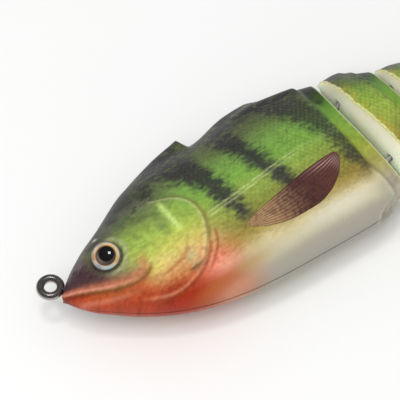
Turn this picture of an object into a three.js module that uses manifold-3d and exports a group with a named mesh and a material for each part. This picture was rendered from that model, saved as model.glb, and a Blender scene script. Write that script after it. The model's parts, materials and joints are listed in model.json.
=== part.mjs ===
// Five-section jointed swimbait lying on its right side. Millimetres, +Z up.
// Lure axes before the rest pose: x back from the nose, y towards the back fin, z towards the left side.
import * as THREE from 'three';
import { mergeVertices } from 'three/addons/utils/BufferGeometryUtils.js';
import Module from 'manifold-3d';

// Outline of the whole lure at stations along its length.
const STATIONS = [0, 3, 8, 15, 25, 34, 44, 52, 60, 68, 76, 84, 92, 100, 108, 116, 124, 134];
const BACK = [-0.7, 2.1, 5.6, 9.2, 14.4, 16.2, 16.4, 17.4, 17.9, 17.1, 15.6, 13.8, 11.4,
  8.9, 7.2, 5.6, 4.4, 3.6];
const BELLY = [-1.4, -5.6, -9.9, -14.8, -19.2, -21.2, -22.1, -22.3, -22.4, -22.3, -21.6, -20.0, -17.8,
  -15.2, -12.6, -10.4, -8.4, -6.6];
const HALF = [1.0, 2.9, 5.1, 7.3, 9.0, 9.7, 10.0, 10.0, 9.8, 9.5, 9.1, 8.8, 8.3, 7.4, 6.5, 5.4, 4.2, 2.8];
const BACK_POWER = 1.4;

// Saw teeth moulded along the back: start, tip, height.
const TEETH = [[33, 42.6, 3.2], [54, 59, 1.2], [78, 83, 0.6], [92, 97, 0.6], [105, 110, 0.5]];

// Sections: apex of each rear face and of the next front face, on the seam plane.
const REAR = [76.0, 89.5, 102.3, 114.3];
const GAP = 1.0;
const FRONT = REAR.map((x) => x + GAP);
const TAIL_END = 134;
const LAST = REAR.length;
const FRONT_SLANT = 0.13;
const REAR_LEAN = Math.tan(THREE.MathUtils.degToRad(14));
const BELLY_SLANT = 0.09;
const CORNER_ROUND = 0.004;
const COLLAR_LENGTH = 4.6;
const COLLAR_DEPTH = 1.8;

// Joints.
const HINGE_BACK = 2.0;
const HINGE_X = FRONT.map((x) => x + HINGE_BACK);
const REST_ANGLE = [7.0, -0.2, 0.0, -1.1];
const EYE_Y = [[7.0, -11.0], [4.6, -9.0], [2.5, -7.0], [0.8, -5.0]];

// Shell walls.
const SEAM = 0.15;
const WALL = 1.8;
const NOSE_WALL = 6.5;
const FRONT_WALL = 4.9;
const REAR_WALL = 2.4;

// Hinge wire and pins.
const WIRE_R = 0.6;
const LOOP_R = 1.45;
const PIN_R = 0.6;
const PIN_HOLE_R = 0.75;
const PIN_REACH = 2.6;
const ANCHOR_HALF = 1.6;
const SLOT_HALF_Y = 0.9;
const SLOT_HALF_Z = 2.4;

// Line tie.
const TIE_CENTRE = [-0.4, 3.0];
const TIE_LOOP_R = 2.2;
const TIE_WIRE_R = 0.9;
const TIE_SHANK_R = 0.75;
const TIE_SLOPE = -44;
const TIE_SHANK_END = 12.0;
const TIE_BAR = 4.0;

// Eyes, ballast and tail fin.
const LURE_EYE = [11.8, -0.2];
const LURE_EYE_R = 3.05;
const LURE_EYE_FACING = [-0.28, -0.2, 0.94];
const LURE_EYE_SUNK = 0.9;
const LURE_EYE_RIM = 0.8;
const LURE_EYE_TOP = 2.1;
const BALLAST_X = [36, 54];
const BALLAST_Y = -17.2;
const BALLAST_R = 2.4;
const FIN_HALF = 0.8;
const FIN_SLOT = [126.5, -4.6, 1.6];
const FIN_PIN = [129.8, -1.5, 0.6, 2.9];

const wasm = await Module();
wasm.setup();

// Smooth curve through the stations, by cubic Hermite pieces.
function curve(values, x) {
  const n = STATIONS.length;
  const q = Math.min(Math.max(x, STATIONS[0]), STATIONS[n - 1]);
  let i = 0;
  while (i < n - 2 && q > STATIONS[i + 1]) i += 1;
  const width = (k) => STATIONS[k + 1] - STATIONS[k];
  const rise = (k) => (values[k + 1] - values[k]) / width(k);
  const slope = (k) => {
    if (k === 0) return rise(0);
    if (k === n - 1) return rise(n - 2);
    return (rise(k - 1) * width(k) + rise(k) * width(k - 1)) / (width(k) + width(k - 1));
  };
  const h = width(i);
  const t = (q - STATIONS[i]) / h;
  return (2 * t ** 3 - 3 * t ** 2 + 1) * values[i] + (t ** 3 - 2 * t ** 2 + t) * h * slope(i)
    + (-2 * t ** 3 + 3 * t ** 2) * values[i + 1] + (t ** 3 - t ** 2) * h * slope(i + 1);
}

function tooth(x) {
  let height = 0;
  for (const [start, tip, top] of TEETH) {
    if (x > start && x <= tip) height = top * (x - start) / (tip - start);
    if (x > tip && x < tip + 1.2) height = top * (1 - (x - tip) / 1.2);
  }
  return height;
}

// A point of the outer surface at station x and angle phi from the back (0) to the belly (pi),
// pulled in by inset, with the flat side at z = base.
function skin(x, phi, inset, base) {
  const top = curve(BACK, x) - inset;
  const bottom = curve(BELLY, x) + inset;
  const half = curve(HALF, x) - inset;
  const mid = 0.45 * top + 0.55 * bottom;
  const c = Math.cos(phi);
  const s = Math.max(Math.sin(phi), 0);
  const spine = inset > 0 ? 0 : tooth(x) * Math.max(c, 0) ** 6;
  const y = mid + (c > 0 ? top - mid : mid - bottom) * c + spine;
  return [y, base + (half - base) * s ** (c > 0 ? BACK_POWER : 1)];
}

// Adds the straight edge where a front face meets the seam plane, ahead of its rim so that the face is a
// blunt wedge in front of the hinge pin. Returns the edge's point numbers, rim points at both ends.
function seamEdge(points, arc, from, base) {
  const top = points[1];
  const bottom = points[3 * arc + 1];
  const seam = [0];
  for (let j = 1; j < arc; j += 1) {
    const y = points[3 * j + 1];
    seam.push(points.length / 3);
    points.push(from - BELLY_SLANT * bottom * (top - y) / (top - bottom), y, base);
  }
  seam.push(arc);
  return seam;
}

// Closed half body of a section, pulled in by inset. Its front face is a blunt wedge, its rear face leans
// away from the seam, and its last stretch narrows to a collar.
function halfBody(section, from, to, stations, arc, inset, base) {
  const front = section === 0 ? 0 : 1;
  const rear = section === LAST ? 0 : 1;
  const end = rear ? REAR[section] : TAIL_END;
  const points = [];
  for (const t of stations) {
    const straight = from + (to - from) * t;
    const narrow = rear * COLLAR_DEPTH * Math.max(0, 1 - (end - straight) / COLLAR_LENGTH);
    for (let j = 0; j <= arc; j += 1) {
      const phi = Math.PI * j / arc;
      let x = straight;
      let [y, z] = skin(x, phi, inset + narrow, base);
      for (let k = 0; k < 4; k += 1) {
        const ahead = FRONT_SLANT * Math.max(1.5 - y, 0) + CORNER_ROUND * y * y;
        const behind = BELLY_SLANT * Math.max(-y, 0) - REAR_LEAN * z;
        x = straight + (1 - t) * front * ahead + rear * t ** (section === 0 ? 6 : 1) * behind;
        [y, z] = skin(x, phi, inset + narrow, base);
      }
      points.push(x, y, z);
    }
  }
  const row = arc + 1;
  const faces = [];
  for (let i = 0; i < stations.length - 1; i += 1) {
    for (let j = 0; j < row; j += 1) {
      const a = i * row + j;
      const b = i * row + (j + 1) % row;
      faces.push(a, b, b + row, a, b + row, a + row);
    }
  }
  const last = (stations.length - 1) * row;
  for (let j = 1; j < arc; j += 1) faces.push(last, last + j, last + j + 1);
  if (front) {
    const seam = seamEdge(points, arc, from, base);
    for (let j = 0; j < arc; j += 1) {
      faces.push(j + 1, j, seam[j]);
      faces.push(j + 1, seam[j], seam[j + 1]);
      faces.push(0, seam[j + 1], seam[j]);
    }
  } else {
    for (let j = 1; j < arc; j += 1) faces.push(0, j + 1, j);
  }
  const geometry = new THREE.BufferGeometry();
  geometry.setAttribute('position', new THREE.Float32BufferAttribute(points, 3));
  geometry.setIndex(faces);
  return geometry;
}

function signedVolume(geometry) {
  const p = geometry.getAttribute('position');
  const index = geometry.getIndex();
  const [a, b, c] = [new THREE.Vector3(), new THREE.Vector3(), new THREE.Vector3()];
  let sum = 0;
  for (let i = 0; i < index.count; i += 3) {
    a.fromBufferAttribute(p, index.getX(i));
    b.fromBufferAttribute(p, index.getX(i + 1));
    c.fromBufferAttribute(p, index.getX(i + 2));
    sum += a.dot(b.cross(c)) / 6;
  }
  return sum;
}

function toSolid(source) {
  let geometry = source.clone();
  geometry.deleteAttribute('normal');
  geometry.deleteAttribute('uv');
  geometry = mergeVertices(geometry, 1e-4);
  const index = Array.from(geometry.getIndex().array);
  const faces = [];
  for (let i = 0; i < index.length; i += 3) {
    const [a, b, c] = index.slice(i, i + 3);
    if (a !== b && b !== c && c !== a) faces.push(a, b, c);
  }
  geometry.setIndex(faces);
  if (signedVolume(geometry) < 0) faces.reverse();
  return new wasm.Manifold(new wasm.Mesh({
    numProp: 3,
    vertProperties: new Float32Array(geometry.getAttribute('position').array),
    triVerts: new Uint32Array(faces),
  }));
}

function toGeometry(solid) {
  const mesh = solid.getMesh();
  const geometry = new THREE.BufferGeometry();
  geometry.setAttribute('position', new THREE.Float32BufferAttribute(Array.from(mesh.vertProperties), 3));
  geometry.setIndex(Array.from(mesh.triVerts));
  return geometry;
}

function box(x, y, z) {
  const geometry = new THREE.BoxGeometry(x[1] - x[0], y[1] - y[0], z[1] - z[0]);
  return geometry.translate((x[0] + x[1]) / 2, (y[0] + y[1]) / 2, (z[0] + z[1]) / 2);
}

function rodY(radius, x, y0, y1, sides) {
  return new THREE.CylinderGeometry(radius, radius, y1 - y0, sides).translate(x, (y0 + y1) / 2, 0);
}

function rodX(radius, x0, x1, y, sides) {
  return new THREE.CylinderGeometry(radius, radius, x1 - x0, sides)
    .rotateZ(Math.PI / 2).translate((x0 + x1) / 2, y, 0);
}

// Wire loop round the y axis with flats towards +y and -y.
function loop(loopRadius, wireRadius, around) {
  const outer = wireRadius / Math.cos(Math.PI / 8);
  const profile = [];
  for (let k = 0; k <= 8; k += 1) {
    const a = Math.PI * (2 * (k % 8) + 1) / 8;
    profile.push(new THREE.Vector2(loopRadius + outer * Math.cos(a), outer * Math.sin(a)));
  }
  return new THREE.LatheGeometry(profile, around);
}

// Height of the left skin over lure position x, y.
function skinHeight(x, y) {
  const top = curve(BACK, x);
  const bottom = curve(BELLY, x);
  const mid = 0.45 * top + 0.55 * bottom;
  const c = (y - mid) / (y > mid ? top - mid : mid - bottom);
  return curve(HALF, x) * Math.sqrt(Math.max(1 - c * c, 0)) ** (c > 0 ? BACK_POWER : 1);
}

// Sets a piece made round the y axis into the left side of the head, facing outwards.
function placeEye(geometry, sunk) {
  const facing = new THREE.Vector3(...LURE_EYE_FACING).normalize();
  const turn = new THREE.Quaternion().setFromUnitVectors(new THREE.Vector3(0, 1, 0), facing);
  const at = new THREE.Vector3(...LURE_EYE, skinHeight(...LURE_EYE)).addScaledVector(facing, -sunk);
  return geometry.applyQuaternion(turn).translate(at.x, at.y, at.z);
}

// Cutters shared by both halves of a section.
const tieAngle = THREE.MathUtils.degToRad(TIE_SLOPE);

function tieShank(radius, from, to, sides) {
  return new THREE.CylinderGeometry(radius, radius, to - from, sides)
    .rotateZ(Math.PI / 2).translate((from + to) / 2, 0, 0)
    .rotateZ(tieAngle).translate(TIE_CENTRE[0], TIE_CENTRE[1], 0);
}

function tieBar(radius, length, sides) {
  return new THREE.CylinderGeometry(radius, radius, length, sides).translate(TIE_SHANK_END - 0.6, 0, 0)
    .rotateZ(tieAngle).translate(TIE_CENTRE[0], TIE_CENTRE[1], 0);
}

function cuttersFor(section) {
  const cuts = [];
  if (section === 0) {
    const disc = new THREE.CylinderGeometry(3.4, 3.4, 2.4, 24).rotateX(Math.PI / 2);
    cuts.push(disc.translate(TIE_CENTRE[0], TIE_CENTRE[1], 0));
    cuts.push(tieShank(TIE_SHANK_R + 0.25, 2, TIE_SHANK_END, 12));
    cuts.push(tieBar(TIE_SHANK_R + 0.25, TIE_BAR + 0.5, 12));
    cuts.push(rodX(BALLAST_R + 0.25, BALLAST_X[0] - 0.3, BALLAST_X[1] + 0.3, BALLAST_Y, 16));
  }
  if (section > 0) {
    const hinge = HINGE_X[section - 1];
    const ys = EYE_Y[section - 1];
    cuts.push(rodY(PIN_HOLE_R, hinge, ys[1] - PIN_REACH - 0.3, ys[0] + PIN_REACH + 0.3, 12));
    for (const y of ys) {
      const reach = [FRONT[section - 1] - 1, hinge + LOOP_R + WIRE_R + 0.4];
      cuts.push(box(reach, [y - SLOT_HALF_Y, y + SLOT_HALF_Y], [-SLOT_HALF_Z, SLOT_HALF_Z]));
    }
  }
  if (section < LAST) {
    for (const y of EYE_Y[section]) {
      const face = REAR[section];
      cuts.push(box([face - REAR_WALL - 1, face + 2], [y - 0.85, y + 0.85], [-0.85, 0.85]));
    }
  } else {
    const half = FIN_HALF + 0.2;
    cuts.push(box([FIN_SLOT[0], TAIL_END + 1], [FIN_SLOT[1], FIN_SLOT[2]], [-half, half]));
    const pinHole = new THREE.CylinderGeometry(FIN_PIN[2] + 0.1, FIN_PIN[2] + 0.1, 20, 10);
    cuts.push(pinHole.rotateX(Math.PI / 2).translate(FIN_PIN[0], FIN_PIN[1], 0));
  }
  return cuts.map(toSolid);
}

// Each section: ends on the seam plane and the stations of its outer surface.
const between = (from, to, stops) => stops.map((x) => (x - from) / (to - from));
const foreStops = [0, 3, 6, 9, 13, 18, 24, 30, 34, 38, 42.6, 43.8, 49, 54, 59, 60.2, 66, 71.4, REAR[0]];
const NAMES = ['fore', 'second', 'third', 'fourth', 'tail'];
const SECTIONS = NAMES.map((name, k) => {
  const from = k === 0 ? 0 : FRONT[k - 1];
  const to = k === LAST ? TAIL_END : REAR[k];
  const collar = to - COLLAR_LENGTH;
  const stops = [from, from + 2.4, (from + 2.4 + collar) / 2, collar, to];
  return { name, from, to, steps: between(from, to, k === 0 ? foreStops : stops) };
});

const paint = new THREE.MeshStandardMaterial({ color: 0x6f9a3c, roughness: 0.3, metalness: 0.0 });
const steel = new THREE.MeshStandardMaterial({ color: 0xb8b8b8, roughness: 0.3, metalness: 1.0 });
const darkSteel = new THREE.MeshStandardMaterial({ color: 0x4a4643, roughness: 0.2, metalness: 1.0 });
const lead = new THREE.MeshStandardMaterial({ color: 0x6a6c70, roughness: 0.7, metalness: 0.8 });
const resin = new THREE.MeshStandardMaterial({ color: 0xc9b070, roughness: 0.1, metalness: 0.0 });
const soft = new THREE.MeshStandardMaterial({ color: 0xb25a32, roughness: 0.5, metalness: 0.0 });

// Rest pose: each section hangs from the one in front, turned about an axis along y.
const poses = [new THREE.Matrix4()];
for (let k = 0; k < LAST; k += 1) {
  const turn = new THREE.Matrix4().makeTranslation(HINGE_X[k], 0, 0)
    .multiply(new THREE.Matrix4().makeRotationY(THREE.MathUtils.degToRad(REST_ANGLE[k])))
    .multiply(new THREE.Matrix4().makeTranslation(-HINGE_X[k], 0, 0));
  poses.push(poses[k].clone().multiply(turn));
}

const group = new THREE.Group();

function add(name, geometry, material, section) {
  const placed = geometry.clone().applyMatrix4(poses[section]);
  const mesh = new THREE.Mesh(placed, material);
  mesh.name = name;
  group.add(mesh);
}

const mirror = (geometry) => {
  const copy = geometry.clone().scale(1, 1, -1);
  const index = Array.from(copy.getIndex().array);
  copy.setIndex(index.reverse());
  return copy;
};

const eyeProfile = [[0, 0], [LURE_EYE_R, 0], [LURE_EYE_R, LURE_EYE_RIM]].map((p) => new THREE.Vector2(...p));
for (let k = 1; k <= 5; k += 1) {
  const a = Math.PI / 2 * k / 5;
  eyeProfile.push(new THREE.Vector2(k === 5 ? 0 : LURE_EYE_R * Math.cos(a),
    LURE_EYE_RIM + (LURE_EYE_TOP - LURE_EYE_RIM) * Math.sin(a)));
}

SECTIONS.forEach((section, k) => {
  let shell = toSolid(halfBody(k, section.from, section.to, section.steps, 12, 0, SEAM));
  const hollowFrom = section.from + (k === 0 ? NOSE_WALL : FRONT_WALL);
  const hollowTo = section.to - (k === LAST ? 10.5 : REAR_WALL);
  const steps = Array.from({ length: k === 0 ? 9 : 3 }, (_, i) => i / (k === 0 ? 8 : 2));
  shell = shell.subtract(toSolid(halfBody(k, hollowFrom, hollowTo, steps, 8, WALL, -1)));
  for (const cut of cuttersFor(k)) shell = shell.subtract(cut);
  if (k === 0) {
    const pocket = new THREE.CylinderGeometry(LURE_EYE_R + 0.25, LURE_EYE_R + 0.25, 5, 24);
    shell = shell.subtract(toSolid(placeEye(pocket.translate(0, 2.5, 0), LURE_EYE_SUNK + 0.2)));
  }
  const left = toGeometry(shell);
  add(`${section.name}_shell_left`, left, paint, k);
  add(`${section.name}_shell_right`, mirror(left), paint, k);
});

// Line tie: flat-topped wire ring, shank and a cross bar held inside the head.
const ring = loop(TIE_LOOP_R, TIE_WIRE_R, 20).rotateX(Math.PI / 2).translate(TIE_CENTRE[0], TIE_CENTRE[1], 0);
const shank = tieShank(TIE_SHANK_R, TIE_LOOP_R, TIE_SHANK_END - 0.6, 10);
const tie = toSolid(ring).add(toSolid(shank)).add(toSolid(tieBar(TIE_SHANK_R, TIE_BAR, 8)));
add('line_tie_ring', toGeometry(tie), darkSteel, 0);

// Eyes.
const leftEye = toGeometry(toSolid(placeEye(new THREE.LatheGeometry(eyeProfile, 20), LURE_EYE_SUNK)));
add('eye_left', leftEye, resin, 0);
add('eye_right', mirror(leftEye), resin, 0);

const ballast = rodX(BALLAST_R, BALLAST_X[0], BALLAST_X[1], BALLAST_Y, 14);
add('belly_ballast', toGeometry(toSolid(ballast)), lead, 0);

// Joints: two wire loops fixed in the leading section, one pin in the following section.
EYE_Y.forEach((ys, k) => {
  ys.forEach((y, i) => {
    const barX = REAR[k] - REAR_WALL - WIRE_R - 0.5;
    const wire = toSolid(loop(LOOP_R, WIRE_R, 14).translate(HINGE_X[k], y, 0))
      .add(toSolid(rodX(WIRE_R, barX, HINGE_X[k] - LOOP_R, y, 8)))
      .add(toSolid(rodY(WIRE_R, barX, y - ANCHOR_HALF, y + ANCHOR_HALF, 8)));
    add(`joint${k + 1}_${i === 0 ? 'upper' : 'lower'}_eye`, toGeometry(wire), steel, k);
  });
  const pin = rodY(PIN_R, HINGE_X[k], ys[1] - PIN_REACH, ys[0] + PIN_REACH, 12);
  add(`joint${k + 1}_pin`, toGeometry(toSolid(pin)), steel, k + 1);
});

// Soft tail fin: a flat fan with a tab held in the slot of the last section.
const outline = [[127.0, -4.3], [134.3, -4.3], [138, -6.2], [146, -10.2], [154, -13.8], [160, -15.6],
  [163.2, -15.4], [162.4, -12.6], [159.4, -7.2], [158.2, -1.4], [159.4, 3.6], [162.4, 8.8], [163.0, 11.6],
  [160, 12.0], [154, 10.0], [146, 6.2], [138, 2.6], [134.3, 1.3], [127.0, 1.3]];
const shape = new THREE.Shape(outline.map(([x, y]) => new THREE.Vector2(x, y)));
const hole = new THREE.Path();
hole.absarc(FIN_PIN[0], FIN_PIN[1], FIN_PIN[2] + 0.1, 0, Math.PI * 2, true);
shape.holes.push(hole);
const fin = new THREE.ExtrudeGeometry(shape, { depth: 2 * FIN_HALF, bevelEnabled: false, curveSegments: 5 });
add('tail_fin', toGeometry(toSolid(fin.translate(0, 0, -FIN_HALF))), soft, LAST);
const finPin = new THREE.CylinderGeometry(FIN_PIN[2], FIN_PIN[2], 2 * FIN_PIN[3], 10).rotateX(Math.PI / 2);
add('tail_fin_pin', toGeometry(toSolid(finPin.translate(FIN_PIN[0], FIN_PIN[1], 0))), steel, LAST);

// Origin at the middle of the footprint, on the floor.
const bounds = new THREE.Box3().setFromObject(group);
const middle = bounds.getCenter(new THREE.Vector3());
group.children.forEach((mesh) => mesh.geometry.translate(-middle.x, -middle.y, -bounds.min.z));

export default group;
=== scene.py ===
"""Looks of a five-section jointed swimbait in perch colours, lying on its right side.

Lure axes, in millimetres: x back from the nose, y towards the back fin, z towards the left side.
"""
import json
import math

import bpy
import numpy as np
from mathutils import Matrix, Vector


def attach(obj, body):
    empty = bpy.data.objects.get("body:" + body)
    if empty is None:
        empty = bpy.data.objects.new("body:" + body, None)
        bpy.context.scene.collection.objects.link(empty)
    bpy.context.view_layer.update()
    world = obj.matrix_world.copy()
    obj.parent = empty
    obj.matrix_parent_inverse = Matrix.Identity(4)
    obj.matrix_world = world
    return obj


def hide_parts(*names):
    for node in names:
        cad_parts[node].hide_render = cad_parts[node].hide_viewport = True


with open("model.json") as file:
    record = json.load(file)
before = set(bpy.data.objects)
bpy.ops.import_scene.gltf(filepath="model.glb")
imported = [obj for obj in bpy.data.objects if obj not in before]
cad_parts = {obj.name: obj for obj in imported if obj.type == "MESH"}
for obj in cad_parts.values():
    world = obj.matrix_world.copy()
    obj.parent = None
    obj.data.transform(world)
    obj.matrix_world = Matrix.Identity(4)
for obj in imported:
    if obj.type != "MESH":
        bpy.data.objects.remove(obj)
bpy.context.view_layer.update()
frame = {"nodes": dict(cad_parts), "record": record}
record = frame["record"]
MM = 0.001

# Outline of the whole lure at stations along its length.
STATIONS = [0, 3, 8, 15, 25, 34, 44, 52, 60, 68, 76, 84, 92, 100, 108, 116, 124, 134]
BACK = [-0.7, 2.1, 5.6, 9.2, 14.4, 16.2, 16.4, 17.4, 17.9, 17.1, 15.6, 13.8, 11.4, 8.9, 7.2, 5.6, 4.4, 3.6]
BELLY = [-1.4, -5.6, -9.9, -14.8, -19.2, -21.2, -22.1, -22.3, -22.4, -22.3, -21.6, -20.0, -17.8, -15.2,
         -12.6, -10.4, -8.4, -6.6]
HALF = [1.0, 2.9, 5.1, 7.3, 9.0, 9.7, 9.88, 9.88, 9.8, 9.5, 9.1, 8.8, 8.3, 7.4, 6.5, 5.4, 4.2, 2.8]
MID_SHARE = 0.45
BACK_POWER = 1.4

# Sections, joints and rest pose. Each rear face and each front face leans away from the seam plane.
REAR = [76.0, 89.5, 102.3, 114.3]
FRONT = [x + 1.0 for x in REAR]
LAST = len(REAR)
HINGE_X = [x + 2.0 for x in FRONT]
REST_ANGLE = [7.0, -0.2, 0.0, -1.1]
REAR_LEAN = math.tan(math.radians(14))
FRONT_SLANT = 0.13
COLLAR = 4.6
TAIL_END = 134.0
WIRE_Y = [[7.0, -11.0], [4.6, -9.0], [2.5, -7.0], [0.8, -5.0]]
PIN_REACH = 2.6
SECTION_NAMES = ["fore", "second", "third", "fourth", "tail"]
BODIES = [f"{name}_section" for name in SECTION_NAMES]

# Line tie and eyes.
TIE_CENTRE = (-0.4, 3.0)
TIE_LOOP_R = 2.2
TIE_WIRE_R = 0.9
TIE_SLOPE = math.radians(-44)
LURE_EYE = (11.8, -0.2)
EYE_R = 3.22
EYE_FACING = (-0.28, -0.2, 0.94)

# The line tie mount, on top of the ring's wire at its front, ties lure millimetres to the frame.
tie_mount = next(m for m in record["mounts"] if m["name"] == "line_tie")
ORIGIN = np.array(tie_mount["pos_m"]) / MM - np.array([TIE_CENTRE[0] - TIE_LOOP_R, TIE_CENTRE[1], TIE_WIRE_R])


def smooth(low, high, x):
    """Smooth step from 0 at low to 1 at high: 3t^2 - 2t^3."""
    t = np.clip((x - low) / (high - low), 0, 1)
    return t * t * (3 - 2 * t)


def bump(x, centre, width):
    """Bell: exp(-(x - centre)^2 / width^2)."""
    return np.exp(-(((x - centre) / width) ** 2))


def curve(xs, ys, x):
    """Cubic Hermite curve through (xs, ys); each inner slope is a weighted mean of its two chords."""
    xs, ys = np.asarray(xs, float), np.asarray(ys, float)
    gap = np.diff(xs)
    chord = np.diff(ys) / gap
    slope = np.empty_like(ys)
    slope[0], slope[-1] = chord[0], chord[-1]
    slope[1:-1] = (chord[:-1] * gap[1:] + chord[1:] * gap[:-1]) / (gap[1:] + gap[:-1])
    x = np.clip(np.asarray(x, float), xs[0], xs[-1])
    i = np.clip(np.searchsorted(xs, x, side="right") - 1, 0, len(xs) - 2)
    t = (x - xs[i]) / gap[i]
    start = (2 * t**3 - 3 * t**2 + 1) * ys[i] + (t**3 - 2 * t**2 + t) * gap[i] * slope[i]
    return start + (3 * t**2 - 2 * t**3) * ys[i + 1] + (t**3 - t**2) * gap[i] * slope[i + 1]


def smooth_path(points, steps=24):
    """Path through a few points: each coordinate is a Hermite curve over the distance along the chords."""
    points = np.asarray(points, float)
    run = np.concatenate([[0], np.cumsum(np.linalg.norm(np.diff(points, axis=0), axis=1))])
    at = np.linspace(0, run[-1], steps)
    return np.stack([curve(run, points[:, k], at) for k in range(points.shape[1])], axis=-1)


def line_distance(x, y, path):
    """Distance to a path, which side of it (+1 left of its direction), and share of the way along it."""
    near = np.full(np.shape(x), 1e9)
    side = np.zeros(np.shape(x))
    along = np.zeros(np.shape(x))
    run = 0.0
    for (ax, ay), (bx, by) in zip(path[:-1], path[1:]):
        dx, dy = bx - ax, by - ay
        length = math.hypot(dx, dy)
        t = np.clip(((x - ax) * dx + (y - ay) * dy) / length**2, 0, 1)
        distance = np.hypot(x - ax - t * dx, y - ay - t * dy)
        closer = distance < near
        near = np.where(closer, distance, near)
        side = np.where(closer, np.sign(dx * (y - ay) - dy * (x - ax)), side)
        along = np.where(closer, run + t * length, along)
        run += length
    return near, side, along / run


def cloud(x, y, size, seed):
    """Soft noise from -1 to 1: random values on a square lattice, blended with smooth steps."""
    lattice = np.random.RandomState(seed).rand(256, 256) * 2 - 1
    u, v = x / size + 37.3, y / size + 91.7
    i, j = np.floor(u).astype(int), np.floor(v).astype(int)
    fu, fv = smooth(0, 1, u - i), smooth(0, 1, v - j)
    i, j = i % 255, j % 255
    low = lattice[i, j] * (1 - fu) + lattice[i + 1, j] * fu
    high = lattice[i, j + 1] * (1 - fu) + lattice[i + 1, j + 1] * fu
    return low * (1 - fv) + high * fv


def linear(colour):
    """Scene-linear colour of a display hex colour."""
    value = np.array([int(colour[k : k + 2], 16) for k in (1, 3, 5)]) / 255
    return np.where(value <= 0.04045, value / 12.92, ((value + 0.055) / 1.055) ** 2.4)


def tint(base, colour, weight):
    """Lays a colour over an array of colours with the given weight at each point."""
    return base + (linear(colour) - base) * np.clip(weight, 0, 1)[..., None]


def ramp(stops, y):
    """Colour against height: straight mixing between stops, lowest first."""
    heights = [stop[0] for stop in stops]
    colours = np.array([linear(stop[1]) for stop in stops])
    return np.stack([np.interp(y, heights, colours[:, k]) for k in range(3)], axis=-1)


# ---------------------------------------------------------------- body form

GILL_EDGE = smooth_path([(21.5, 6.2), (24, 6.0), (28, 4.4), (31.6, 2), (33.2, -1), (33.2, -5), (31.9, -8.5),
                         (29.6, -11.6), (27.6, -13.2), (25.8, -13.2)], 40)
PREOPERCLE = smooth_path([(27.4, -7.6), (26.2, -9.4), (23.6, -10.7), (20.4, -11.1), (17.6, -10.8)], 24)
GILL_RAYS = [
    smooth_path([(31.6, -9.6), (29.4, -12.4), (26.6, -14.2), (23.4, -15.1), (19.6, -15), (15.8, -13.6),
                 (12.6, -11.8)], 36),
    smooth_path([(33.4, -8.2), (32.2, -11.2), (29.8, -13.6), (27.4, -15.2)], 24),
]
MOUTH = smooth_path([(0, -1.4), (2.2, -2.9), (5, -4.7), (8, -6.5), (11, -8.0), (14, -8.9), (16.6, -8.8),
                     (18.2, -7.8), (18.3, -6.9)], 40)
LIP = smooth_path([(0.6, -0.8), (4, -2.9), (8, -4.9), (12, -6.2), (15.4, -6.7), (17.6, -6.8)], 30)
LATERAL_X = [33.8, 43, 51, 58, 66, 74, 90, 106, 134]
LATERAL_Y = [-5.5, -4.5, -3.4, -2.6, -2.2, -2.2, -2.4, -2.4, -1.6]
LATER_TEETH = [(77.5, 83.0, 0.7), (91, 97, 0.6), (104, 110, 0.5)]


def fin_line(x):
    """Height of the narrow ridge along the back.

    It rises as a power of the distance to a tooth and drops behind it, swells to a low hump, and has a small
    tooth on each following section.
    """
    first = 3.15 * np.clip((x - 26) / 16.2, 0, 1) ** 1.25 * (1 - smooth(42.2, 43.6, x))
    hump = 1.2 * smooth(45, 55, x) * (1 - smooth(60, 65, x))
    later = 0.0
    for foot, tip, height in LATER_TEETH:
        rise = np.clip((x - foot) / (tip - foot), 0, 1) ** 1.5
        later = later + height * rise * (1 - smooth(tip, tip + 0.9, x))
    return first + hump + later


def shoulder(x):
    """Height of the crest along each shoulder, which ends in a blunt step."""
    return 0.9 * smooth(50, 61, x) * (1 - smooth(70.4, 72.2, x))


def raw_skin(x, phi, inset=0.0):
    """Outer surface at station x and angle phi, from 0 at the back to pi at the belly.

    Each cross section is an ellipse, its upper half narrowed by a power of the sine, plus the ridges.
    """
    top, bottom, half = (curve(STATIONS, v, x) for v in (BACK, BELLY, HALF))
    top, bottom, half = top - inset, bottom + inset, half - inset
    mid = MID_SHARE * top + (1 - MID_SHARE) * bottom
    c, s = np.cos(phi), np.sin(phi).clip(0)
    upper = c > 0
    z = half * s ** np.where(upper, BACK_POWER, 1.0)
    y = mid + np.where(upper, top - mid, mid - bottom) * c
    rise = fin_line(x) * bump(z, 0, 1.9) + shoulder(x) * bump(z, 3.4, 1.3)
    return y + rise * smooth(0.55, 0.85, c), z


def skin_height(x, y):
    """Height z of the smooth left side over a point x, y."""
    top, bottom, half = (curve(STATIONS, v, x) for v in (BACK, BELLY, HALF))
    mid = MID_SHARE * top + (1 - MID_SHARE) * bottom
    c = np.clip((y - mid) / np.where(y > mid, top - mid, mid - bottom), -1, 1)
    return half * np.sqrt(1 - c * c) ** np.where(c > 0, BACK_POWER, 1.0)


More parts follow.
